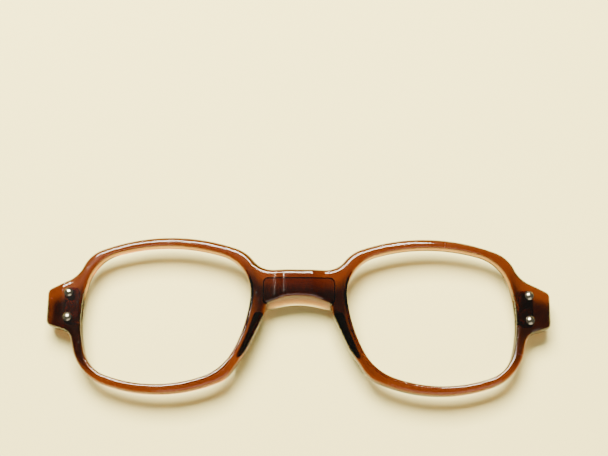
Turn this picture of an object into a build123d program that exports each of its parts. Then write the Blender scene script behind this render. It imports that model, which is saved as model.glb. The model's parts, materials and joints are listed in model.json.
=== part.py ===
"""Spectacle front in cellulose acetate, with its nose pads, hinge halves and rivets.

Millimetres. X runs across the face, Y up to the brow and Z forwards, away from the
face. The front lies on its two hinge barrels: z = 0 is the plane they rest on, and
x = y = 0 is midway between the eyes, on the line through the eye centres.
"""
import os
from collections import Counter
from math import cos, hypot, radians, sin, sqrt, tan

from build123d import *

# ---- overall ---------------------------------------------------------------------
EYE_PITCH = 70.0            # between eye centres: a 46 mm eye and a 24 mm bridge
END_REACH = 6.2             # from the widest point of a rim to the outer end
FACE_FORM = 1.0             # degrees that each side is swept back
RIM_THICKNESS = 3.9

# ---- eyes --------------------------------------------------------------------------
# An eye outline is four broad arcs with rounded corners. Each entry holds the reach from
# the eye centre, the arc's radius, where its apex lies along that side, and the radius of
# the corner that follows it clockwise, seen with the nose on the right.
OPENING = {
    "top": (18.6, 49.0, 0.2, 11.1),
    "nasal": (22.4, 38.0, 8.3, 14.2),
    "bottom": (18.5, 38.0, -2.3, 9.5),
    "temporal": (22.2, 35.5, -0.8, 11.2),
}
RIM = {
    "top": (20.95, 52.0, 1.1, 9.6),
    "nasal": (24.9, 51.6, 11.0, 9.0),
    "bottom": (20.95, 41.3, -1.8, 13.0),
    "temporal": (25.3, 32.8, -0.7, 8.6),
}
OUTWARD = {"top": (0, 1), "nasal": (1, 0), "bottom": (0, -1), "temporal": (-1, 0)}
GROOVE_DEPTH = 0.8          # the lens is this much larger than the opening all round
GROOVE_ANGLE = 100.0        # included angle of the V

# ---- bridge and nose -----------------------------------------------------------------
BRIDGE_TOP = 12.25
BRIDGE_STEP = 0.7           # how far the bridge stands forward of the rims
BRIDGE_FLAT = 3.7           # half width of the forward part
BRIDGE_FLANK = 3.0          # width of the slope from it down to the rim
BRIDGE_BEND = 5.0           # radius of the bends beside that slope
BRIDGE_FILLET = 6.5         # between the bridge's top edge and the rims
BACK_BEND = 30.0            # radius of the bend behind the bridge
SADDLE_PROUD = 1.7          # how much deeper than the rims the bridge is where it sits on the nose
SADDLE_SPREAD = 0.8         # how far the saddle reaches past the nose opening on each side
SADDLE_TOP = 10.6
SADDLE_BOTTOM = 1.9
SADDLE_CORNER = 1.5
SADDLE_ROUND = 0.8
ARCH_CROWN = 5.2            # height of the arch at its front edge
ARCH_RISE = 1.9             # from where it meets the flanks to its crown
ARCH_SLOPE = 17.0           # degrees that the arch drops towards the face
ARCH_CORNER = 1.5
NASAL_RIM = 3.8             # between an eye and the top of the nose opening
NOSE_SHOULDER = 0.6         # where the flanks of the opening start to spread
KNEE_REACH = 21.8           # from the eye centre to the bend in a flank
KNEE_Y = -9.0
FOOT_REACH = 17.7           # inside the rim, just past where the flank meets it
FOOT_Y = -15.0
SHOULDER_BEND = 3.0
KNEE_BEND = 12.0

# ---- end pieces ----------------------------------------------------------------------
END_TOP = 6.6               # at the outer end
END_TOP_SLOPE = 25.0        # degrees
END_BOTTOM = -2.7
END_BOTTOM_SLOPE = 18.0
END_TOP_FILLET = 8.0
END_BOTTOM_FILLET = 3.5
END_CORNER = 1.7
BUTT_WIDTH = 3.7            # outermost strip, which the temple butts against
BUTT_SWEEP = 9.0            # degrees more than the face form
BUTT_BEND = 4.0

# ---- edges ---------------------------------------------------------------------------
OUTER_ROUND = 1.3
INNER_ROUND = 0.7
BACK_ROUND = 0.5

# ---- nose pads -------------------------------------------------------------------------
PAD_TOP = 1.2
PAD_BOTTOM = -13.6
PAD_DEPTH = 4.0
PAD_SPLAY = 6.0
PAD_INSET = 0.5             # bare rim left beside the foot of the pad
PAD_CORNER = 0.9
PAD_ROUND = 0.4

# ---- hinges, rivets and screws -----------------------------------------------------------
HINGE_Y = 2.4               # middle of the hinge
RIVET_INSET = 5.7           # from the outer end to the rivets
RIVET_PITCH = 6.65
RIVET_SHANK = 1.2           # diameter
RIVET_HEAD = 2.35           # diameter of the domed head
RIVET_DOME = 0.5            # height of the dome
RIVET_TAIL = 1.6            # diameter of the tail peened over the hinge plate
RIVET_TAIL_HEIGHT = 0.3
RIVET_FIT = 0.01            # radial
PLATE_MARGIN = 1.675        # from a rivet to the end of the hinge plate
PLATE_INSET = 4.5           # from the outer end to the plate
PLATE_WIDTH = 3.8
PLATE_THICKNESS = 0.9
PLATE_CORNER = 1.2
PIN_INSET = 6.0             # from the outer end to the hinge pin
KNUCKLES = 3
KNUCKLE_LENGTH = 0.95
KNUCKLE_GAP = 1.05          # takes one knuckle of the temple's half
BARREL_RADIUS = 1.45
BARREL_PROUD = 3.5          # from the back of the front to the back of the barrels
LUG_REACH = 0.8             # how much wider the foot of a knuckle is, towards the nose
SCREW_DIAMETER = 1.4
SCREW_FIT = 0.05            # radial
SCREW_SEAT = 0.02           # under the head
SCREW_HEAD = 2.1
SCREW_HEAD_HEIGHT = 0.7
SCREW_SLOT_WIDTH = 0.35
SCREW_SLOT_DEPTH = 0.3
SCREW_OVERRUN = 0.15        # past the last knuckle
SCREW_TIP = 0.2             # chamfer

# ---- worked out ----------------------------------------------------------------------------
SIDES = {"right": -1, "left": 1}    # the wearer's own right and left
EYE_X = EYE_PITCH / 2
RIM_EDGE = EYE_X + RIM["temporal"][0]
HALF_WIDTH = RIM_EDGE + END_REACH
SWEEP = tan(radians(FACE_FORM))
BUTT_START = HALF_WIDTH - BUTT_WIDTH
NOSE_HALF_WIDTH = EYE_X - OPENING["nasal"][0] - NASAL_RIM
NOSE_KNEE = (EYE_X - KNEE_REACH, KNEE_Y)
NOSE_FOOT = (EYE_X - FOOT_REACH, FOOT_Y)
SADDLE_HALF_WIDTH = NOSE_HALF_WIDTH + SADDLE_SPREAD
SADDLE_DEPTH = RIM_THICKNESS + SADDLE_PROUD
RIVET_X = HALF_WIDTH - RIVET_INSET
PIN_X = HALF_WIDTH - PIN_INSET
PLATE_X = HALF_WIDTH - PLATE_INSET - PLATE_WIDTH / 2
PLATE_LENGTH = RIVET_PITCH + 2 * PLATE_MARGIN
HINGE_STACK = KNUCKLES * KNUCKLE_LENGTH + (KNUCKLES - 1) * KNUCKLE_GAP
CLEAR = 60.0                # reaches past the front, up, down and through
OVERLAP = 1.0               # of the shapes that make up an outline
FACING = 0.9                # least cosine for a face to look forwards or back
GROOVE_PAST = 1.1           # a groove is drawn this much deeper, from inside the opening


def back_z(x):
    """Height of the back of a rim, x from the middle."""
    return BARREL_PROUD + (PIN_X - x) * SWEEP


def front_z(x):
    """Height of the face of a rim, x from the middle."""
    return back_z(x) + RIM_THICKNESS / cos(radians(FACE_FORM))


BRIDGE_FRONT = front_z(BRIDGE_FLAT + BRIDGE_FLANK) + BRIDGE_STEP


def side_plane(side, x, rise=0.0, y=0.0):
    """Plane along the back of a side at x from the middle, or rise in front of it."""
    lean = radians(FACE_FORM)
    back = Plane(
        origin=(side * x, y, back_z(x)),
        x_dir=(cos(lean), 0, -side * sin(lean)),
        z_dir=(side * sin(lean), 0, cos(lean)),
    )
    return back.offset(rise)


def mirrored(points):
    """Points on one side and then their mirror images, as one closed run."""
    return points + [(-x, y) for x, y in reversed(points)]


def eye_arc(outline, name, grow):
    """Circle (x, y, radius) of one side of an eye and its apex, with +x to the nose."""
    (dx, dy), (reach, radius, apex, _) = OUTWARD[name], outline[name]
    x = dx * (reach - radius) + abs(dy) * apex
    y = dy * (reach - radius) + abs(dx) * apex
    radius += grow
    return (x, y, radius), (x + dx * radius, y + dy * radius)


def crossing(first, second, toward):
    """Where two circles cross, on the side that toward points to."""
    (x1, y1, r1), (x2, y2, r2) = first, second
    gap = hypot(x2 - x1, y2 - y1)
    ux, uy = (x2 - x1) / gap, (y2 - y1) / gap
    along = (gap**2 + r1**2 - r2**2) / (2 * gap)
    across = sqrt(r1**2 - along**2)
    both = [(x1 + along * ux - s * across * uy, y1 + along * uy + s * across * ux) for s in (-1, 1)]
    return max(both, key=lambda p: p[0] * toward[0] + p[1] * toward[1])


def eye_shape(outline, side, plane, grow=0.0):
    """Sketch of an eye outline on a plane at the eye centre, larger by grow all round."""
    names = list(outline)
    corners = []
    for name, after in zip(names, names[1:] + names[:1]):
        toward = [a + b for a, b in zip(OUTWARD[name], OUTWARD[after])]
        x, y = crossing(eye_arc(outline, name, grow)[0], eye_arc(outline, after, grow)[0], toward)
        corners.append((-side * x, y))
    with BuildSketch(plane) as eye:
        with BuildLine():
            for i, name in enumerate(names):
                x, y = eye_arc(outline, name, grow)[1]
                ThreePointArc(corners[i - 1], (-side * x, y), corners[i])
        make_face()
        for name, corner in zip(names, corners):
            fillet(eye.vertices().sort_by_distance((*corner, 0))[0], outline[name][3] + grow)
    return eye.sketch


def groove_sections(side):
    """Sketches across a lens groove: its bottom, and both lips just inside the opening."""
    spread = GROOVE_PAST * GROOVE_DEPTH * tan(radians(GROOVE_ANGLE / 2))
    lip = GROOVE_DEPTH * (1 - GROOVE_PAST)
    return [
        eye_shape(OPENING, side, side_plane(side, EYE_X, RIM_THICKNESS / 2 + rise), grow)
        for rise, grow in ((-spread, lip), (0, GROOVE_DEPTH), (spread, lip))
    ]


def end_heights(x):
    """Heights of the top and bottom edges of an end piece, x from the middle."""
    run = HALF_WIDTH - x
    return END_TOP + run * tan(radians(END_TOP_SLOPE)), END_BOTTOM - run * tan(radians(END_BOTTOM_SLOPE))


def end_shape(side):
    """Sketch of one end piece, from inside the rim to the outer end."""
    inner = EYE_X + RIM["temporal"][0] / 2
    top, bottom = end_heights(inner)
    with BuildSketch() as end:
        with BuildLine():
            Polyline((side * inner, top), (side * HALF_WIDTH, END_TOP), (side * HALF_WIDTH, END_BOTTOM),
                     (side * inner, bottom), close=True)
        make_face()
        fillet(end.vertices().group_by(Axis.X)[0 if side < 0 else -1], END_CORNER)
    return end.sketch


def bridge_shape():
    """Sketch of the bridge and the flanks of the nose opening, as far as the ledge."""
    inside = (EYE_X - OPENING["nasal"][0] + OVERLAP, BRIDGE_TOP)
    ledge = (NOSE_HALF_WIDTH, SADDLE_BOTTOM - PAD_INSET)
    with BuildSketch() as bridge:
        with BuildLine():
            Polyline(*mirrored([inside, NOSE_FOOT, NOSE_KNEE, (NOSE_HALF_WIDTH, NOSE_SHOULDER), ledge]),
                     close=True)
        make_face()
        for x in (-NOSE_KNEE[0], NOSE_KNEE[0]):
            fillet(bridge.vertices().sort_by_distance((x, NOSE_KNEE[1]))[0], KNEE_BEND)
        for x in (-NOSE_HALF_WIDTH, NOSE_HALF_WIDTH):
            fillet(bridge.vertices().sort_by_distance((x, NOSE_SHOULDER))[0], SHOULDER_BEND)
    return bridge.sketch


def bend_profile():
    """Sketch of the front's section from above: swept-back sides and a bridge that stands forward."""
    step = (BRIDGE_FLAT + BRIDGE_FLANK, front_z(BRIDGE_FLAT + BRIDGE_FLANK))
    drop = CLEAR * tan(radians(FACE_FORM + BUTT_SWEEP))
    face = [(BRIDGE_FLAT, BRIDGE_FRONT), step, (BUTT_START, front_z(BUTT_START))]
    back = [(BUTT_START, back_z(BUTT_START)), (BRIDGE_FLAT, back_z(BRIDGE_FLAT))]
    ends = [(BUTT_START + CLEAR, z - drop) for z in (front_z(BUTT_START), back_z(BUTT_START))]
    with BuildSketch(Plane.XZ) as profile:
        with BuildLine():
            Polyline(*mirrored([*face, *ends, *back]), close=True)
        make_face()
        for point, radius in zip([*face, *back], [BRIDGE_BEND, BRIDGE_BEND, BUTT_BEND, BUTT_BEND, BACK_BEND]):
            for x in (-point[0], point[0]):
                fillet(profile.vertices().sort_by_distance((x, point[1], 0))[0], radius)
    return profile.sketch


def arch_shape():
    """Sketch, on the bridge's face, of the arch that sits on the nose."""
    spring = ARCH_CROWN - ARCH_RISE
    with BuildSketch(Plane.XY.offset(BRIDGE_FRONT)) as arch:
        with BuildLine():
            Line((NOSE_HALF_WIDTH, spring), (NOSE_HALF_WIDTH, NOSE_SHOULDER))
            Line((NOSE_HALF_WIDTH, NOSE_SHOULDER), (-NOSE_HALF_WIDTH, NOSE_SHOULDER))
            Line((-NOSE_HALF_WIDTH, NOSE_SHOULDER), (-NOSE_HALF_WIDTH, spring))
            ThreePointArc((-NOSE_HALF_WIDTH, spring), (0, ARCH_CROWN), (NOSE_HALF_WIDTH, spring))
        make_face()
        fillet(arch.vertices().group_by(Axis.Y)[-1], ARCH_CORNER)
    return arch.sketch


def border(part, facing):
    """Edges round the faces that look forwards (facing 1) or back (-1)."""
    faces = [face for face in part.faces() if facing * face.normal_at().Z > FACING]
    uses = Counter(edge for face in faces for edge in face.edges())
    return ShapeList(edge for edge, count in uses.items() if count == 1)


def pad_shape(side):
    """Sketch of the foot of a nose pad, between the nose opening and the eye."""
    spread = (NOSE_KNEE[0] - NOSE_HALF_WIDTH) / (NOSE_KNEE[1] - NOSE_SHOULDER)
    top = (NOSE_HALF_WIDTH + (PAD_TOP - NOSE_SHOULDER) * spread, PAD_TOP)
    points = [(side * (x + PAD_INSET - EYE_X), y) for x, y in (top, NOSE_KNEE, NOSE_FOOT)]
    with BuildSketch(side_plane(side, EYE_X)) as pad:
        with BuildLine():
            Polyline(*points, (0, NOSE_FOOT[1]), (0, PAD_TOP), close=True)
        make_face()
        fillet(pad.vertices().sort_by_distance((*points[1], 0))[0], KNEE_BEND)
        with Locations((0, (PAD_TOP + PAD_BOTTOM) / 2)):
            Rectangle(2 * EYE_X, PAD_TOP - PAD_BOTTOM, mode=Mode.INTERSECT)
        add(eye_shape(OPENING, side, Plane.XY, PAD_INSET), mode=Mode.SUBTRACT)
        for row in (0, -1):
            fillet(pad.vertices().group_by(Axis.Y)[row], PAD_CORNER)
    return pad.sketch


def plate_shape(side):
    """Sketch of a hinge plate, on the back of an end piece."""
    with BuildSketch(side_plane(side, PLATE_X)) as plate:
        with Locations((0, HINGE_Y)):
            RectangleRounded(PLATE_WIDTH, PLATE_LENGTH, PLATE_CORNER)
    return plate.sketch


def rivet_planes(side):
    """Planes on the back of an end piece at its lower and upper rivets."""
    return [side_plane(side, RIVET_X, y=HINGE_Y + step * RIVET_PITCH) for step in (-0.5, 0.5)]


def knuckle_shape(side, y):
    """Sketch of a knuckle across the pin, with its foot inside the hinge plate."""
    foot = back_z(PIN_X) + PLATE_THICKNESS / 2
    with BuildSketch(Plane.XZ.offset(-y)) as knuckle:
        with Locations((side * PIN_X, BARREL_RADIUS)):
            Circle(BARREL_RADIUS)
        with BuildLine():
            Polyline(
                (side * (PIN_X - BARREL_RADIUS), BARREL_RADIUS),
                (side * (PIN_X - BARREL_RADIUS - LUG_REACH), foot),
                (side * (PIN_X + BARREL_RADIUS), foot),
                (side * (PIN_X + BARREL_RADIUS), BARREL_RADIUS),
                close=True,
            )
        make_face()
    return knuckle.sketch


pieces = {}

# ---- front -------------------------------------------------------------------------------------
with BuildPart() as front:
    with BuildSketch() as outline:
        for side in SIDES.values():
            add(eye_shape(RIM, side, Plane((side * EYE_X, 0, 0))))
            add(end_shape(side))
        add(bridge_shape())
        top, bottom = end_heights(RIM_EDGE)
        notches = [
            (EYE_X - RIM["nasal"][0], BRIDGE_TOP, BRIDGE_FILLET),
            (RIM_EDGE, top, END_TOP_FILLET),
            (RIM_EDGE, bottom, END_BOTTOM_FILLET),
        ]
        for side in SIDES.values():
            for x, y, radius in notches:
                fillet(outline.vertices().sort_by_distance((side * x, y, 0))[0], radius)
    extrude(amount=CLEAR)
    extrude(bend_profile(), amount=CLEAR, both=True, mode=Mode.INTERSECT)

    fillet(border(front, -1).filter_by(lambda edge: abs(edge.center().X) > SADDLE_HALF_WIDTH), BACK_ROUND)

    # saddle behind the bridge, and the arch through both
    with BuildSketch(Plane.XY.offset(BRIDGE_FRONT - SADDLE_DEPTH)):
        with Locations((0, (SADDLE_TOP + SADDLE_BOTTOM) / 2)):
            RectangleRounded(2 * SADDLE_HALF_WIDTH, SADDLE_TOP - SADDLE_BOTTOM, SADDLE_CORNER)
    extrude(amount=SADDLE_DEPTH / 2)
    saddle_back = front.faces().sort_by_distance((0, SADDLE_TOP, BRIDGE_FRONT - SADDLE_DEPTH))[0]
    fillet(saddle_back.edges(), SADDLE_ROUND)
    slope = radians(ARCH_SLOPE)
    extrude(arch_shape(), amount=2 * SADDLE_DEPTH, dir=(0, -sin(slope), -cos(slope)), mode=Mode.SUBTRACT)

    fillet(border(front, 1), OUTER_ROUND)
    rounded = border(front, 1)

    # eyes, square to each side, with the groove that holds the lens
    for side in SIDES.values():
        middle = side_plane(side, EYE_X, RIM_THICKNESS / 2)
        extrude(eye_shape(OPENING, side, middle), amount=CLEAR, both=True, mode=Mode.SUBTRACT)
    fillet(border(front, 1).filter_by(lambda edge: edge not in rounded), INNER_ROUND)
    for side in SIDES.values():
        loft(groove_sections(side), ruled=True, mode=Mode.SUBTRACT)

    # seats of the hinge plates and holes for the rivets
    for side in SIDES.values():
        extrude(plate_shape(side), amount=PLATE_THICKNESS, mode=Mode.SUBTRACT)
        for plane in rivet_planes(side):
            with Locations(plane):
                Cylinder(RIVET_SHANK / 2 + RIVET_FIT, CLEAR, mode=Mode.SUBTRACT)

pieces["front"] = front

# ---- nose pads ---------------------------------------------------------------------------------
for name, side in SIDES.items():
    with BuildPart() as nose_pad:
        extrude(pad_shape(side), amount=-PAD_DEPTH, taper=PAD_SPLAY)
        fillet(border(nose_pad, -1), PAD_ROUND)
    pieces[f"nose_pad_{name}"] = nose_pad

# ---- hinges ------------------------------------------------------------------------------------
for name, side in SIDES.items():
    with BuildPart() as hinge:
        extrude(plate_shape(side), amount=PLATE_THICKNESS)
        for i in range(KNUCKLES):
            start = HINGE_Y - HINGE_STACK / 2 + i * (KNUCKLE_LENGTH + KNUCKLE_GAP)
            extrude(knuckle_shape(side, start), amount=-KNUCKLE_LENGTH)
        with Locations(Plane(origin=(side * PIN_X, HINGE_Y, BARREL_RADIUS), z_dir=(0, 1, 0))):
            Cylinder(SCREW_DIAMETER / 2 + SCREW_FIT, 2 * HINGE_STACK, mode=Mode.SUBTRACT)
        for plane in rivet_planes(side):
            with Locations(plane):
                Cylinder(RIVET_SHANK / 2 + RIVET_FIT, CLEAR, mode=Mode.SUBTRACT)
    pieces[f"hinge_{name}"] = hinge

# ---- rivets ------------------------------------------------------------------------------------
for name, side in SIDES.items():
    for place, plane in zip(("lower", "upper"), rivet_planes(side)):
        axial = Plane(origin=plane.origin, x_dir=plane.y_dir, z_dir=plane.x_dir)
        with BuildPart() as rivet:
            with BuildSketch(axial):
                with BuildLine():
                    Polyline((0, RIM_THICKNESS + RIVET_DOME), (0, -RIVET_TAIL_HEIGHT),
                             (RIVET_TAIL / 2, -RIVET_TAIL_HEIGHT), (RIVET_TAIL / 2, 0),
                             (RIVET_SHANK / 2, 0), (RIVET_SHANK / 2, RIM_THICKNESS),
                             (RIVET_HEAD / 2, RIM_THICKNESS))
                    radius = (RIVET_HEAD**2 / 4 + RIVET_DOME**2) / (2 * RIVET_DOME)
                    RadiusArc((0, RIM_THICKNESS + RIVET_DOME), (RIVET_HEAD / 2, RIM_THICKNESS), radius)
                make_face()
            revolve(axis=Axis(plane.origin, plane.z_dir))
        pieces[f"rivet_{name}_{place}"] = rivet

# ---- hinge screws ------------------------------------------------------------------------------
for name, side in SIDES.items():
    seat = HINGE_Y + HINGE_STACK / 2 + SCREW_SEAT
    under_head = Plane(origin=(side * PIN_X, seat, BARREL_RADIUS), x_dir=(1, 0, 0), z_dir=(0, 1, 0))
    with BuildPart() as hinge_screw:
        with BuildSketch(under_head):
            Circle(SCREW_DIAMETER / 2)
        extrude(amount=-(HINGE_STACK + SCREW_SEAT + SCREW_OVERRUN))
        chamfer(hinge_screw.edges().sort_by(Axis.Y)[0], SCREW_TIP)
        with BuildSketch(under_head):
            Circle(SCREW_HEAD / 2)
        extrude(amount=SCREW_HEAD_HEIGHT)
        with BuildSketch(under_head.offset(SCREW_HEAD_HEIGHT)):
            Rectangle(2 * SCREW_HEAD, SCREW_SLOT_WIDTH)
        extrude(amount=-SCREW_SLOT_DEPTH, mode=Mode.SUBTRACT)
    pieces[f"hinge_screw_{name}"] = hinge_screw

# ---- files -------------------------------------------------------------------------------------
os.makedirs("parts", exist_ok=True)
for name, piece in pieces.items():
    piece.part.label = name
    export_step(piece.part, f"parts/{name}.step")
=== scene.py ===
"""Spectacle front in cellulose acetate, with its nose pads, hinge halves, rivets and screws.

Lengths inside the shape functions are millimetres in the frame's axes, X across the face,
Y up to the brow and Z out of the face, and put_mesh turns them into metres.
"""
import json
import math

import bpy
import numpy as np
from mathutils import Matrix, Vector


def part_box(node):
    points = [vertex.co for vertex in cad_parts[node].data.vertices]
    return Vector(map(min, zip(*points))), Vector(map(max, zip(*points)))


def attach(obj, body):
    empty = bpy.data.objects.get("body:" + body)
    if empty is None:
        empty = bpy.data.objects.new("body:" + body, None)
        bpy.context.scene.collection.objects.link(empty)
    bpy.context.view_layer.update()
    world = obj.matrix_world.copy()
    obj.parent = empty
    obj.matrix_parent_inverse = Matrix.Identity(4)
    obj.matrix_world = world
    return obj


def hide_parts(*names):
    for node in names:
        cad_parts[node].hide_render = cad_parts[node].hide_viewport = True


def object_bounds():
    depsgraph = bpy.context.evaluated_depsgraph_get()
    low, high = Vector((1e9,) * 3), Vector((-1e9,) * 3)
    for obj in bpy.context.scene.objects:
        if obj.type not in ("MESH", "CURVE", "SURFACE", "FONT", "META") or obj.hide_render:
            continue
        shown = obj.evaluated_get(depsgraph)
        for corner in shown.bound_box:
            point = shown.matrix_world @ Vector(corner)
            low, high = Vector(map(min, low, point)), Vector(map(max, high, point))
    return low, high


bl_info = {
    "name": "Spectacle Front",
    "version": (1, 0, 0),
    "blender": (4, 5, 0),
    "location": "3D Viewport > Sidebar > Spectacle Front",
    "description": "Acetate spectacle front with pads, hinges, rivets and screws, and its stage",
    "category": "Add Mesh",
}

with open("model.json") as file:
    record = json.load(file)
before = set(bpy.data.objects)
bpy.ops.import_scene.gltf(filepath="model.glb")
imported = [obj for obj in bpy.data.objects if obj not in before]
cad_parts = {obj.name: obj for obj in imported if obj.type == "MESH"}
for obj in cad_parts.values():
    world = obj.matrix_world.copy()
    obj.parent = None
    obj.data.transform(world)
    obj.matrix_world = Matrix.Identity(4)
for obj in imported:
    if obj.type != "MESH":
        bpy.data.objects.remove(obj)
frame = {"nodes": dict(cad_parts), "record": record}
CAD_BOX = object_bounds()
MM = 0.001
SIDES = {"right": -1, "left": 1}
FAR = 9.0                   # mm, more than any distance in a hinge
PAD_SHARE = 0.78            # of the room between the nasal edge and the eye, that a pad takes
LIGHT_HEIGHT = 0.64         # of the front's height: the level that the lights and the camera aim at
KEY_LIGHT = {"place": (-0.10, 0.43, 0.66), "size": (0.50, 0.40), "colour": (1.0, 0.95, 0.80)}
BOUNCE_LIGHT = {"place": (0.25, -0.75, 0.45), "size": (0.9, 0.6), "colour": (1.0, 0.95, 0.80)}
ROOM_COLOUR = (1.0, 0.96, 0.80, 1)


# ---- node helpers --------------------------------------------------------------------------

def new_material(name):
    """Node material with only a Principled shader and its output, and the two nodes."""
    material = bpy.data.materials.new(name)
    material.use_nodes = True
    nodes = material.node_tree.nodes
    return material, nodes["Principled BSDF"], nodes["Material Output"]


def add_node(tree, kind, inputs=None, **settings):
    """Node of a kind with its settings, and its inputs set to values or linked to sockets."""
    node = tree.nodes.new(kind)
    for name, value in settings.items():
        setattr(node, name, value)
    for name, value in (inputs or {}).items():
        if isinstance(value, bpy.types.NodeSocket):
            tree.links.new(value, node.inputs[name])
        else:
            node.inputs[name].default_value = value
    return node


def new_group(name, inputs, outputs):
    """Shader node group with inputs (name, socket type, default) and outputs (name, socket type)."""
    tree = bpy.data.node_groups.new(name, "ShaderNodeTree")
    for label, kind, default in inputs:
        socket = tree.interface.new_socket(label, in_out="INPUT", socket_type=kind)
        if default is not None:
            socket.default_value = default
    for label, kind in outputs:
        tree.interface.new_socket(label, in_out="OUTPUT", socket_type=kind)
    start = tree.nodes.new("NodeGroupInput")
    end = tree.nodes.new("NodeGroupOutput")
    return tree, start, end


def use_group(tree, name, **values):
    """Places a shared node group in a material, with its own values."""
    node = tree.nodes.new("ShaderNodeGroup")
    node.node_tree = bpy.data.node_groups[name]
    for label, value in values.items():
        label = label.replace("_", " ")
        if isinstance(value, bpy.types.NodeSocket):
            tree.links.new(value, node.inputs[label])
        else:
            node.inputs[label].default_value = value
    return node


# ---- shared effects ------------------------------------------------------------------------

def make_hairlines():
    """Fine rubbed lines: two noises stretched along different directions, cut to their peaks."""
    tree, start, end = new_group(
        "hairlines",
        [("Scale", "NodeSocketFloat", 900.0), ("Stretch", "NodeSocketFloat", 0.05),
         ("Strength", "NodeSocketFloat", 0.1)],
        [("Mask", "NodeSocketFloat"), ("Normal", "NodeSocketVector")],
    )
    place = add_node(tree, "ShaderNodeTexCoord").outputs["Object"]
    masks = []
    for turn in (0.5, -0.9, 1.9):
        across = add_node(tree, "ShaderNodeCombineXYZ", {"X": start.outputs["Stretch"], "Y": 1.0, "Z": 1.0})
        turned = add_node(tree, "ShaderNodeVectorRotate", {"Vector": place, "Angle": turn},
                          rotation_type="Z_AXIS")
        squeezed = add_node(tree, "ShaderNodeVectorMath",
                            {0: turned.outputs[0], 1: across.outputs[0]}, operation="MULTIPLY")
        noise = add_node(tree, "ShaderNodeTexNoise",
                         {"Vector": squeezed.outputs[0], "Scale": start.outputs["Scale"], "Detail": 1.0})
        peak = add_node(tree, "ShaderNodeMapRange",
                        {"Value": noise.outputs["Fac"], "From Min": 0.66, "From Max": 0.74})
        masks.append(peak.outputs["Result"])
    both = add_node(tree, "ShaderNodeMath", {0: masks[0], 1: masks[1]}, operation="MAXIMUM")
    every = add_node(tree, "ShaderNodeMath", {0: both.outputs[0], 1: masks[2]}, operation="MAXIMUM")
    bump = add_node(tree, "ShaderNodeBump",
                    {"Strength": start.outputs["Strength"], "Distance": 0.00002,
                     "Height": every.outputs[0]}, invert=True)
    tree.links.new(every.outputs[0], end.inputs["Mask"])
    tree.links.new(bump.outputs["Normal"], end.inputs["Normal"])


def make_dust():
    """Sparse specks: the small cells of a voronoi pattern, thinned by a slow noise."""
    tree, start, end = new_group(
        "dust",
        [("Scale", "NodeSocketFloat", 900.0), ("Amount", "NodeSocketFloat", 0.5)],
        [("Mask", "NodeSocketFloat")],
    )
    place = add_node(tree, "ShaderNodeTexCoord").outputs["Object"]
    cells = add_node(tree, "ShaderNodeTexVoronoi", {"Vector": place, "Scale": start.outputs["Scale"]})
    speck = add_node(tree, "ShaderNodeMapRange",
                     {"Value": cells.outputs["Distance"], "From Min": 0.16, "From Max": 0.08})
    slow = add_node(tree, "ShaderNodeTexNoise", {"Vector": place, "Scale": 160.0, "Detail": 3.0})
    thin = add_node(tree, "ShaderNodeMapRange",
                    {"Value": slow.outputs["Fac"], "From Min": 0.52, "From Max": 0.66})
    kept = add_node(tree, "ShaderNodeMath", {0: speck.outputs["Result"], 1: thin.outputs["Result"]},
                    operation="MULTIPLY")
    scaled = add_node(tree, "ShaderNodeMath", {0: kept.outputs[0], 1: start.outputs["Amount"]},
                      operation="MULTIPLY")
    tree.links.new(scaled.outputs[0], end.inputs["Mask"])


def make_mottle():
    """Slow cloudiness between two colours, as in sheet that was rolled and pressed."""
    tree, start, end = new_group(
        "mottle",
        [("Scale", "NodeSocketFloat", 60.0), ("Pale", "NodeSocketColor", None),
         ("Deep", "NodeSocketColor", None)],
        [("Color", "NodeSocketColor"), ("Mask", "NodeSocketFloat")],
    )
    place = add_node(tree, "ShaderNodeTexCoord").outputs["Object"]
    flow = add_node(tree, "ShaderNodeTexNoise",
                    {"Vector": place, "Scale": start.outputs["Scale"], "Detail": 3.0, "Distortion": 1.2})
    spread = add_node(tree, "ShaderNodeMapRange",
                      {"Value": flow.outputs["Fac"], "From Min": 0.3, "From Max": 0.7})
    mixed = add_node(tree, "ShaderNodeMix",
                     {"Factor": spread.outputs["Result"]}, data_type="RGBA")
    tree.links.new(start.outputs["Pale"], mixed.inputs[6])
    tree.links.new(start.outputs["Deep"], mixed.inputs[7])
    tree.links.new(mixed.outputs[2], end.inputs["Color"])
    tree.links.new(spread.outputs["Result"], end.inputs["Mask"])


# ---- finishes ------------------------------------------------------------------------------

def acetate_finish(finish):
    """Polished brown sheet acetate: clear to the eye and tinted by its depth."""
    material, shader, output = new_material("brown_acetate")
    tree = material.node_tree
    cloud = use_group(tree, "mottle", Scale=70.0, Pale=(1.0, 1.0, 1.0, 1), Deep=(0.86, 0.76, 0.66, 1))
    lines = use_group(tree, "hairlines", Scale=700.0, Stretch=0.04, Strength=0.12)
    specks = use_group(tree, "dust", Scale=800.0, Amount=0.7)
    rough = add_node(tree, "ShaderNodeMath", {0: specks.outputs["Mask"], 1: 0.5, 2: 0.07},
                     operation="MULTIPLY_ADD")
    tree.links.new(cloud.outputs["Color"], shader.inputs["Base Color"])
    tree.links.new(rough.outputs[0], shader.inputs["Roughness"])
    tree.links.new(lines.outputs["Normal"], shader.inputs["Normal"])
    shader.inputs["IOR"].default_value = 1.48
    shader.inputs["Transmission Weight"].default_value = 1.0
    tint = add_node(tree, "ShaderNodeVolumeAbsorption",
                    {"Color": (*finish.acetate_tint, 1), "Density": finish.acetate_density})
    tree.links.new(tint.outputs["Volume"], output.inputs["Volume"])
    return material


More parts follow.
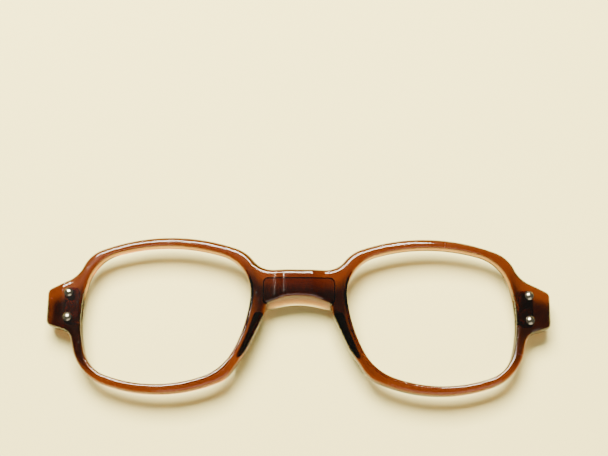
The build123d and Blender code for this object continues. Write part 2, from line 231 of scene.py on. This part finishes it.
def metal_finish(name, colour, rough, stretch):
    """Drawn and tumbled metal: rubbed lines and slight clouding of its shine."""
    material, shader, _ = new_material(name)
    tree = material.node_tree
    shade = tuple(0.72 * c for c in colour)
    cloud = use_group(tree, "mottle", Scale=260.0, Pale=(*colour, 1), Deep=(*shade, 1))
    lines = use_group(tree, "hairlines", Scale=2600.0, Stretch=stretch, Strength=0.35)
    uneven = add_node(tree, "ShaderNodeMath", {0: cloud.outputs["Mask"], 1: 0.14, 2: rough},
                      operation="MULTIPLY_ADD")
    tree.links.new(cloud.outputs["Color"], shader.inputs["Base Color"])
    tree.links.new(uneven.outputs[0], shader.inputs["Roughness"])
    tree.links.new(lines.outputs["Normal"], shader.inputs["Normal"])
    shader.inputs["Metallic"].default_value = 1.0
    return material


def stage_finish(colour):
    """Matt card with a faint unevenness."""
    material, shader, _ = new_material("pale_card")
    tree = material.node_tree
    deep = tuple(0.97 * c for c in colour)
    cloud = use_group(tree, "mottle", Scale=8.0, Pale=(*colour, 1), Deep=(*deep, 1))
    tree.links.new(cloud.outputs["Color"], shader.inputs["Base Color"])
    shader.inputs["Roughness"].default_value = 0.85
    return material


# ---- surfaces ------------------------------------------------------------------------------

def tube(rings):
    """Closed surface through rings (rows, columns, 3): columns wrap round, and each end is drawn
    to its middle."""
    rows, columns, _ = rings.shape
    points = np.vstack([rings.reshape(-1, 3), rings[0].mean(axis=0), rings[-1].mean(axis=0)])
    here = np.arange(columns)
    after = (here + 1) % columns
    start = (np.arange(rows - 1) * columns)[:, None]
    quads = np.stack([start + here, start + after, start + columns + after, start + columns + here],
                     axis=-1)
    first, last = rows * columns, rows * columns + 1
    low = np.stack([after, here, np.full(columns, first)], axis=-1)
    high = np.stack([here, after, np.full(columns, last)], axis=-1)
    high[:, :2] += (rows - 1) * columns
    return points, quads.reshape(-1, 4), np.vstack([low, high])


def ring_loop(rings):
    """Closed surface through rings (rows, columns, 3) that wraps round both ways, as a tyre does."""
    rows, columns, _ = rings.shape
    down, across = np.meshgrid(np.arange(rows), np.arange(columns), indexing="ij")
    below, beside = (down + 1) % rows, (across + 1) % columns
    quads = np.stack([down * columns + across, down * columns + beside,
                      below * columns + beside, below * columns + across], axis=-1)
    return rings.reshape(-1, 3), quads.reshape(-1, 4), np.zeros((0, 3), int)


def outward(points, quads, triangles):
    """The same faces, turned round if the volume that they enclose comes out negative."""
    every = np.vstack([quads[:, :3], quads[:, [0, 2, 3]], triangles])
    a, b, c = (points[every[:, i]] for i in range(3))
    if np.einsum("ij,ij->i", a, np.cross(b, c)).sum() < 0:
        quads, triangles = quads[:, ::-1], triangles[:, ::-1]
    return points, quads, triangles


def put_mesh(name, shells, material, body, node):
    """Mesh object from closed shells in millimetres, which rides on a body and stands for a CAD node."""
    points, loops, totals, base = [], [], [], 0
    for shell in shells:
        shell_points, quads, triangles = outward(*shell)
        points.append(shell_points)
        loops += [(quads + base).ravel(), (triangles + base).ravel()]
        totals += [np.full(len(quads), 4), np.full(len(triangles), 3)]
        base += len(shell_points)
    points, loops, totals = np.vstack(points) * MM, np.concatenate(loops), np.concatenate(totals)
    mesh = bpy.data.meshes.new(name)
    mesh.vertices.add(len(points))
    mesh.vertices.foreach_set("co", points.ravel())
    mesh.loops.add(len(loops))
    mesh.loops.foreach_set("vertex_index", loops)
    mesh.polygons.add(len(totals))
    mesh.polygons.foreach_set("loop_start", np.concatenate([[0], np.cumsum(totals)[:-1]]))
    mesh.polygons.foreach_set("use_smooth", np.ones(len(totals), bool))
    mesh.update(calc_edges=True)
    mesh.validate()
    mesh.materials.append(material)
    piece = bpy.data.objects.new(name, mesh)
    bpy.context.scene.collection.objects.link(piece)
    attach(piece, body)
    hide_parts(node)
    return piece


def node_box(name):
    """Lowest and highest corner of a CAD node in millimetres, as arrays."""
    low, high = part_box(name)
    return np.array(low) / MM, np.array(high) / MM


def side_axes(side):
    """Across, up and out of one swept-back side, as unit arrays; out is the axis of its lens groove."""
    mount = next(m for m in frame["record"]["mounts"] if m["name"] == f"lens_groove_{side}")
    out = np.array(mount["axis"], float)
    up = np.array([0.0, 1.0, 0.0])
    return np.cross(up, out), up, out


def rivet_seat(node, side, sizes):
    """Point on a rivet's axis at the back of the front: its head's box is centred on the axis."""
    low, high = node_box(node)
    out = side_axes(side)[2]
    top = np.array([(low[0] + high[0]) / 2, (low[1] + high[1]) / 2, high[2]])
    top[0] += sizes.rivet_dome / MM * out[0]
    return top - (sizes.rim_thickness + sizes.rivet_dome) / MM * out


def revolved(profile, centre, axes, columns=64, wobble=0.0):
    """Profile of (radius, height) turned about the out axis; wobble makes it slightly three-lobed."""
    across, up, out = axes
    turn = np.linspace(0, 2 * math.pi, columns, endpoint=False)
    radius = profile[:, :1] * (1 + wobble * np.cos(3 * turn + 0.6))
    height = np.repeat(profile[:, 1:], columns, axis=1)
    return (centre + (radius * np.cos(turn))[..., None] * across + (radius * np.sin(turn))[..., None] * up
            + height[..., None] * out)


def rivet_profile(sizes):
    """Radius and height from the top of the dome to the tail: the dome is an arc of a circle with a
    rounded lip, then the shank, then a tail flattened over the plate with a rounded edge."""
    head, dome = sizes.rivet_head / 2 / MM, sizes.rivet_dome / MM
    thick, shank, tail = sizes.rim_thickness / MM, sizes.rivet_shank / 2 / MM, sizes.rivet_tail / 2 / MM
    ball = (head**2 + dome**2) / (2 * dome)
    reach = np.linspace(0.02, 0.94, 14) * head      # in shares of the head's radius
    cap = np.column_stack([reach, thick + dome - ball + np.sqrt(ball**2 - reach**2)])
    bend = np.linspace(0.25, 1.0, 5) * math.pi / 2
    lip, peen_round, peen_drop = 0.06, 0.14, 0.17
    edge = np.column_stack([head - lip + lip * np.sin(bend), thick + lip * np.cos(bend)])
    neck = np.array([[head - 0.03, thick + 0.004], [shank, thick + 0.002], [shank, 0.02]])
    low = tail - peen_round
    foot = np.array([[tail - 0.04, 0.0]])
    swing = np.linspace(0, 1, 6) * math.pi / 2
    peen = np.column_stack([low + peen_round * np.cos(swing), -0.08 - peen_drop * np.sin(swing)])
    flat = np.array([[0.6 * low, -0.285], [0.05, -0.29]])
    return np.vstack([cap, edge, neck, foot, peen, flat])


def plate_shell(side, sizes):
    """Hinge plate: a rounded oblong carried up from its back, drawn in at both faces for a soft edge."""
    low, high = node_box(f"hinge_{side}")
    across, up, out = side_axes(side)
    seat = rivet_seat(f"rivet_{side}_upper", side, sizes)
    middle = np.array([(low[0] + high[0]) / 2, (low[1] + high[1]) / 2, 0.0])
    middle[2] = seat[2] - (middle[0] - seat[0]) * out[0] / out[2]
    half = np.array([(high[0] - low[0]) / 2 / out[2], (high[1] - low[1]) / 2])
    corner, soft, thick = 1.2, 0.12, sizes.plate_thickness / MM
    turn = np.linspace(0, 2 * math.pi, 96, endpoint=False)
    core = half - corner
    flat = np.column_stack([np.cos(turn), np.sin(turn)])
    bend = np.linspace(0, 1, 6) * math.pi / 2
    inset = np.concatenate([[1.0], soft * (1 - np.sin(bend)), soft * (1 - np.cos(bend)), [1.0]])
    height = np.concatenate([[0.0], soft * (1 - np.cos(bend)), thick - soft * (1 - np.sin(bend)), [thick]])
    outline = np.sign(flat) * core + (corner - inset[:, None, None]) * flat
    rings = middle + outline[..., :1] * across + outline[..., 1:] * up + height[:, None, None] * out
    return tube(rings)


def knuckle_shell(side, start, sizes):
    """Knuckle with its bore: rings go round the pin, out from the bore to the least of the distances to the
    barrel, its foot and its flanks, and each ring's section is an oblong with soft corners."""
    pin_low, pin_high = node_box(f"hinge_screw_{side}")
    low, _ = node_box(f"hinge_{side}")
    pin = (pin_low + pin_high) / 2
    radius = pin[2] - low[2]
    out = side_axes(side)[2]
    seat = rivet_seat(f"rivet_{side}_upper", side, sizes)
    foot = seat[2] - (pin[0] - seat[0]) * out[0] / out[2] + sizes.plate_thickness / MM / 2 - pin[2]
    turn = np.linspace(0, 2 * math.pi, 72, endpoint=False)
    run, rise = np.cos(turn), np.sin(turn)
    slant = np.array([-foot, -sizes.lug_reach / MM])
    slant /= np.hypot(*slant)
    reach = np.full(turn.shape, FAR)
    for normal, distance in (((1, 0), radius), ((0, 1), foot), (slant, -slant[0] * radius)):
        along = run * normal[0] + rise * normal[1]
        reach = np.where(along > 1e-6, np.minimum(reach, distance / np.maximum(along, 1e-6)), reach)
    reach = np.where(rise <= 0, radius, np.maximum(reach, radius))
    bore = (sizes.screw_diameter / 2 + sizes.screw_fit) / MM
    soft, length = 0.1, sizes.knuckle_length / MM
    bend = np.linspace(0, 1, 5) * math.pi / 2
    inset = np.concatenate([soft * (1 - np.sin(bend)), soft * (1 - np.cos(bend))])
    place = np.concatenate([soft * (1 - np.cos(bend)), length - soft * (1 - np.sin(bend))])
    outer = reach[None, :] - inset[:, None]
    inner = bore + 0.5 * inset[::-1][:, None] + 0 * reach[None, :]
    distance = np.vstack([outer, inner])
    along = np.concatenate([place, place[::-1]])[:, None] + 0 * distance
    toward = SIDES[side]
    rings = np.stack([pin[0] + toward * distance * run, start + along, pin[2] + distance * rise], axis=-1)
    return ring_loop(rings)


def pad_shell(side, sizes):
    """Nose pad: rings down its length, each a blunt rounded section, drawn in at both ends.
    The nasal edge is a line that bends smoothly outwards below the knee (a logarithm of one plus an
    exponential). The other edge is an arc about a far centre, bent in at the foot, that follows the eye."""
    low, high = node_box(f"nose_pad_{side}")
    toward = SIDES[side]
    out = side_axes(side)[2]
    seat = rivet_seat(f"rivet_{side}_upper", side, sizes)
    along = (1 - np.cos(np.linspace(0.03, 0.97, 60) * math.pi)) / 2
    y = high[1] + (low[1] - high[1]) * along
    start_x, start_y, slope = 8.95, 0.6, 0.458
    knee, bend, soft = -9, 0.225, 0.8
    nasal = start_x + slope * (start_y - y) + bend * soft * np.log1p(np.exp((knee - y) / soft))
    arc_x, arc_y, arc_radius, foot, foot_bend = 50.6, 8.3, 38.5, -7, 0.0133
    eye_edge = arc_x - np.sqrt(arc_radius**2 - (y - arc_y)**2) - foot_bend * np.maximum(0, foot - y)**2
    lateral = nasal + PAD_SHARE * (eye_edge - nasal)
    from_end = np.minimum(along, 1 - along) * (high[1] - low[1])
    drawn = np.sqrt(1 - (1 - np.minimum(from_end / sizes.pad_round * MM, 1))**2)
    turn = np.linspace(0, math.pi, 40)
    blunt_across, blunt_deep = 0.42, 0.5        # powers under 1 square the section off
    side_way = np.sign(np.cos(turn)) * np.abs(np.cos(turn))**blunt_across
    depth = sizes.pad_depth / MM * np.abs(np.sin(turn))**blunt_deep
    lean = 1 - 0.24 * depth / depth.max()
    middle, half = (nasal + lateral) / 2, (lateral - nasal) / 2 * (0.45 + 0.55 * drawn)
    x = middle[:, None] + half[:, None] * (side_way * lean)[None, :] + 0.25 * (depth / depth.max())[None, :]
    fall = depth[None, :] * drawn[:, None] + 0.02
    back = seat[2] - (toward * x - seat[0]) * out[0] / out[2]
    base = np.stack([toward * x, np.repeat(y[:, None], len(turn), axis=1), back], axis=-1)
    return tube(base - fall[..., None] * out)


def screw_shells(side, sizes):
    """Hinge screw: a shank whose radius falls and rises along a helix, and a slotted head. Over the head's
    disc, rows run along the slot and are crowded at its walls, and the top is lowered between them."""
    low, high = node_box(f"hinge_screw_{side}")
    pin = (low + high) / 2
    top, head_height = high[1], sizes.head_height / MM
    under = top - head_height
    radius, head = sizes.screw_diameter / 2 / MM, (high[0] - low[0]) / 2
    y = np.linspace(low[1], under + 0.1, 190)
    turn = np.linspace(0, 2 * math.pi, 48, endpoint=False)
    phase = (y[:, None] / (sizes.thread_pitch / MM) - turn[None, :] / (2 * math.pi)) % 1.0
    thread_depth, plain_neck, run_out, tip_length = 0.09, 0.7, 0.15, 0.3
    groove = thread_depth * np.abs(2 * phase - 1)
    cut = np.clip((under - plain_neck - y) / run_out, 0, 1)[:, None]
    point = np.clip((y - low[1]) / tip_length, 0, 1)[:, None]
    distance = (radius - groove * cut) * (0.72 + 0.28 * point)
    shank = np.stack([pin[0] + distance * np.cos(turn), np.repeat(y[:, None], len(turn), axis=1),
                      pin[2] + distance * np.sin(turn)], axis=-1)
    width, deep = sizes.slot_width / 2 / MM, sizes.slot_depth / MM
    wall = np.array([-width - 0.001, -width + 0.001, width - 0.001, width + 0.001])
    side_rows = -head * np.cos(np.linspace(0.06, 0.5, 14) * math.pi)[:13]
    side_rows = side_rows[side_rows < -width]
    rows = np.unique(np.concatenate([side_rows, wall, -side_rows]))
    half = np.sqrt(head**2 - rows**2)
    columns = np.cos(np.linspace(1, 0, 25) * math.pi)
    along = half[:, None] * columns[None, :]
    beside = np.repeat(rows[:, None], len(columns), axis=1)
    crown_drop = 0.1
    crown = top - crown_drop * (np.sqrt(along**2 + beside**2) / head)**6
    height = np.where(np.abs(beside) < width, top - deep, crown)
    upper = np.stack([pin[0] + along, height, pin[2] + beside], axis=-1)
    lower = np.stack([pin[0] + along[:, ::-1], np.full(along.shape, under), pin[2] + beside], axis=-1)
    return [tube(shank), tube(np.concatenate([upper, lower], axis=1))]


# ---- properties ----------------------------------------------------------------------------

class PieceProperties(bpy.types.PropertyGroup):
    """Sizes of the pieces that are fitted to the front."""
    rim_thickness: bpy.props.FloatProperty(
        name="Rim thickness", description="Front to back", unit="LENGTH", default=0.0039)
    rivet_head: bpy.props.FloatProperty(
        name="Rivet head", description="Diameter of the domed head", unit="LENGTH", default=0.00235)
    rivet_dome: bpy.props.FloatProperty(
        name="Rivet dome", description="Height of the dome", unit="LENGTH", default=0.0005)
    rivet_shank: bpy.props.FloatProperty(
        name="Rivet shank", description="Diameter", unit="LENGTH", default=0.0012)
    rivet_tail: bpy.props.FloatProperty(
        name="Rivet tail", description="Diameter of the tail over the plate", unit="LENGTH", default=0.0016)
    plate_thickness: bpy.props.FloatProperty(
        name="Plate thickness", description="Of the hinge plate", unit="LENGTH", default=0.0009)
    knuckle_length: bpy.props.FloatProperty(
        name="Knuckle length", description="Along the pin", unit="LENGTH", default=0.00095)
    knuckle_gap: bpy.props.FloatProperty(
        name="Knuckle gap", description="Room for a knuckle of the temple's half", unit="LENGTH",
        default=0.00105)
    lug_reach: bpy.props.FloatProperty(
        name="Lug reach", description="How much wider a knuckle's foot is, towards the nose", unit="LENGTH",
        default=0.0008)
    screw_diameter: bpy.props.FloatProperty(
        name="Screw diameter", description="Over the thread", unit="LENGTH", default=0.0014)
    screw_fit: bpy.props.FloatProperty(
        name="Screw fit", description="Radial room in the bore", unit="LENGTH", default=0.00005)
    thread_pitch: bpy.props.FloatProperty(
        name="Thread pitch", description="Between turns", unit="LENGTH", default=0.0003)
    head_height: bpy.props.FloatProperty(
        name="Head height", description="Of a screw", unit="LENGTH", default=0.0007)
    slot_width: bpy.props.FloatProperty(
        name="Slot width", description="In a screw's head", unit="LENGTH", default=0.00035)
    slot_depth: bpy.props.FloatProperty(
        name="Slot depth", description="In a screw's head", unit="LENGTH", default=0.0003)
    pad_depth: bpy.props.FloatProperty(
        name="Pad depth", description="How far a nose pad stands behind the rim", unit="LENGTH",
        default=0.00398)
    pad_round: bpy.props.FloatProperty(
        name="Pad rounding", description="Of a nose pad's two ends", unit="LENGTH", default=0.0022)


class FinishProperties(bpy.types.PropertyGroup):
    """Colours and finishes of the front and its metal parts."""
    acetate_tint: bpy.props.FloatVectorProperty(
        name="Acetate tint", description="Colour that light keeps while it crosses the sheet",
        subtype="COLOR", size=3, min=0, max=1, default=(0.63, 0.385, 0.01))
    acetate_density: bpy.props.FloatProperty(
        name="Acetate density", description="How strongly a metre of the sheet takes light away",
        min=0, default=1650.0)
    silver: bpy.props.FloatVectorProperty(
        name="Nickel silver", description="Colour of the rivets and hinges",
        subtype="COLOR", size=3, min=0, max=1, default=(0.34, 0.31, 0.24))
    steel: bpy.props.FloatVectorProperty(
        name="Steel", description="Colour of the screws",
        subtype="COLOR", size=3, min=0, max=1, default=(0.62, 0.62, 0.61))


class StageProperties(bpy.types.PropertyGroup):
    """Floor, lights and camera."""
    floor_size: bpy.props.FloatProperty(
        name="Floor size", description="Side of the floor", unit="LENGTH", default=3.0)
    floor_colour: bpy.props.FloatVectorProperty(
        name="Floor colour", description="Colour of the card", subtype="COLOR", size=3, min=0, max=1,
        default=(0.90, 0.80, 0.33))
    lens: bpy.props.FloatProperty(
        name="Lens", description="Focal length for a 36 mm sensor", min=10, default=77.0)
    distance: bpy.props.FloatProperty(
        name="Distance", description="From the camera to the middle of the front along its axis",
        unit="LENGTH", default=0.3433)
    tilt: bpy.props.FloatProperty(
        name="Tilt", description="How far the camera's axis leans from straight down",
        unit="ROTATION", default=math.radians(16.0))
    roll: bpy.props.FloatProperty(
        name="Roll", description="Turn of the camera about its axis", unit="ROTATION",
        default=math.radians(0.45))
    aim: bpy.props.FloatVectorProperty(
        name="Aim", description="Where the front's middle lies from the camera's axis, right and up",
        size=2, unit="LENGTH", default=(-0.0014, -0.0233))
    key_power: bpy.props.FloatProperty(
        name="Key power", description="Power of the large light beyond the brow", unit="POWER",
        default=37.0)
    bounce_power: bpy.props.FloatProperty(
        name="Bounce power", description="Power of the broad light in front", unit="POWER", default=3.5)
    fill: bpy.props.FloatProperty(
        name="Fill", description="Strength of the light from all round", min=0, default=0.21)


# ---- operators -----------------------------------------------------------------------------

def dress(node_name, slots):
    """Gives each material slot of a CAD node its finish; slots maps slot names to materials."""
    node = frame["nodes"][node_name]
    for holder in node.material_slots:
        holder.material = slots[holder.material.name.split(".")[0]]


class SPECTACLE_OT_finishes(bpy.types.Operator):
    """Makes the shared effects and the finishes, and gives the front's own parts theirs"""
    bl_idname = "spectacle.finishes"
    bl_label = "Finishes"

    def execute(self, context):
        finish = context.scene.spectacle_finish
        make_hairlines()
        make_dust()
        make_mottle()
        acetate = acetate_finish(finish)
        metal_finish("nickel_silver", finish.silver, 0.24, 0.08)
        metal_finish("rivet_silver", finish.silver, 0.16, 0.3)
        metal_finish("screw_steel_turned", finish.steel, 0.3, 0.05)
        dress("front", {"acetate": acetate})
        return {"FINISHED"}


class SPECTACLE_OT_nose_pads(bpy.types.Operator):
    """Makes the two nose pads behind the nasal rims"""
    bl_idname = "spectacle.nose_pads"
    bl_label = "Nose Pads"

    def execute(self, context):
        sizes = context.scene.spectacle_pieces
        for side in SIDES:
            put_mesh(f"carved_pad_{side}", [pad_shell(side, sizes)], bpy.data.materials["brown_acetate"],
                     "front", f"nose_pad_{side}")
        return {"FINISHED"}


class SPECTACLE_OT_hinges(bpy.types.Operator):
    """Makes the hinge halves: a plate and three knuckles on each side"""
    bl_idname = "spectacle.hinges"
    bl_label = "Hinges"

    def execute(self, context):
        sizes = context.scene.spectacle_pieces
        pitch = (sizes.knuckle_length + sizes.knuckle_gap) / MM
        for side in SIDES:
            low, high = node_box(f"hinge_{side}")
            first = (low[1] + high[1]) / 2 - pitch - sizes.knuckle_length / MM / 2
            shells = [plate_shell(side, sizes)]
            shells += [knuckle_shell(side, first + i * pitch, sizes) for i in range(3)]
            put_mesh(f"barrel_hinge_{side}", shells, bpy.data.materials["nickel_silver"],
                     "front", f"hinge_{side}")
        return {"FINISHED"}


class SPECTACLE_OT_rivets(bpy.types.Operator):
    """Makes the four domed rivets"""
    bl_idname = "spectacle.rivets"
    bl_label = "Rivets"

    def execute(self, context):
        sizes = context.scene.spectacle_pieces
        profile = rivet_profile(sizes)
        for side in SIDES:
            for place in ("upper", "lower"):
                node = f"rivet_{side}_{place}"
                rings = revolved(profile, rivet_seat(node, side, sizes), side_axes(side), wobble=0.012)
                put_mesh(f"domed_{node}", [tube(rings)], bpy.data.materials["rivet_silver"],
                         "front", node)
        return {"FINISHED"}


class SPECTACLE_OT_screws(bpy.types.Operator):
    """Makes the two slotted hinge screws"""
    bl_idname = "spectacle.screws"
    bl_label = "Hinge Screws"

    def execute(self, context):
        sizes = context.scene.spectacle_pieces
        for side in SIDES:
            node = f"hinge_screw_{side}"
            put_mesh(f"slotted_screw_{side}", screw_shells(side, sizes),
                     bpy.data.materials["screw_steel_turned"], node, node)
        return {"FINISHED"}


def area_light(name, target, power, place, size, colour):
    """Rectangular area light at a place, turned to a target."""
    data = bpy.data.lights.new(name, "AREA")
    data.shape, data.size, data.size_y = "RECTANGLE", size[0], size[1]
    data.energy, data.color = power, colour
    lamp = bpy.data.objects.new(name, data)
    lamp.location = place
    lamp.rotation_euler = (Vector(target) - Vector(place)).to_track_quat("-Z", "Y").to_euler()
    bpy.context.scene.collection.objects.link(lamp)
    return lamp


class SPECTACLE_OT_stage(bpy.types.Operator):
    """Makes the floor, the lights and the camera"""
    bl_idname = "spectacle.stage"
    bl_label = "Stage"

    def execute(self, context):
        stage = context.scene.spectacle_stage
        low, high = CAD_BOX
        half = stage.floor_size / 2
        mesh = bpy.data.meshes.new("floor")
        corners = [(-half, -half, low.z), (half, -half, low.z), (half, half, low.z), (-half, half, low.z)]
        mesh.from_pydata(corners, [], [(0, 1, 2, 3)])
        mesh.materials.append(stage_finish(stage.floor_colour))
        floor = bpy.data.objects.new("floor", mesh)
        context.scene.collection.objects.link(floor)

        middle = Vector((0, 0, (low.z + high.z) * LIGHT_HEIGHT))
        area_light("key", middle, stage.key_power, **KEY_LIGHT)
        area_light("bounce", middle, stage.bounce_power, **BOUNCE_LIGHT)
        world = bpy.data.worlds.new("room")
        world.use_nodes = True
        room = world.node_tree.nodes["Background"]
        room.inputs["Color"].default_value = ROOM_COLOUR
        room.inputs["Strength"].default_value = stage.fill
        context.scene.world = world

        data = bpy.data.cameras.new("camera")
        data.lens, data.sensor_width = stage.lens, 36.0
        data.clip_start = 0.01
        camera = bpy.data.objects.new("camera", data)
        context.scene.collection.objects.link(camera)
        turn = Matrix.Rotation(stage.tilt, 4, "X") @ Matrix.Rotation(stage.roll, 4, "Z")
        offset = turn @ Vector((stage.aim[0], stage.aim[1], -stage.distance))
        camera.matrix_world = Matrix.Translation(middle - offset) @ turn
        context.scene.camera = camera
        return {"FINISHED"}


# ---- panel ---------------------------------------------------------------------------------

class SPECTACLE_PT_main(bpy.types.Panel):
    """The front's sizes, finishes and stage"""
    bl_label = "Spectacle Front"
    bl_idname = "SPECTACLE_PT_main"
    bl_space_type = "VIEW_3D"
    bl_region_type = "UI"
    bl_category = "Spectacle Front"

    def draw(self, context):
        layout = self.layout
        for name, kind in GROUPS.items():
            box = layout.box()
            box.label(text=kind.__doc__)
            for key in kind.__annotations__:
                box.prop(getattr(context.scene, name), key)
        for operator in OPERATORS:
            layout.operator(operator.bl_idname)


GROUPS = {"spectacle_pieces": PieceProperties, "spectacle_finish": FinishProperties,
          "spectacle_stage": StageProperties}
OPERATORS = (SPECTACLE_OT_finishes, SPECTACLE_OT_nose_pads, SPECTACLE_OT_hinges, SPECTACLE_OT_rivets,
             SPECTACLE_OT_screws, SPECTACLE_OT_stage)
CLASSES = (*GROUPS.values(), *OPERATORS, SPECTACLE_PT_main)


def register():
    for cls in CLASSES:
        bpy.utils.register_class(cls)
    for name, group in GROUPS.items():
        setattr(bpy.types.Scene, name, bpy.props.PointerProperty(type=group))


def unregister():
    for name in GROUPS:
        delattr(bpy.types.Scene, name)
    for cls in reversed(CLASSES):
        bpy.utils.unregister_class(cls)


def main():
    """Makes every piece and the stage."""
    register()
    bpy.ops.spectacle.finishes()
    bpy.ops.spectacle.nose_pads()
    bpy.ops.spectacle.hinges()
    bpy.ops.spectacle.rivets()
    bpy.ops.spectacle.screws()
    bpy.ops.spectacle.stage()


if __name__ == "__main__":
    main()
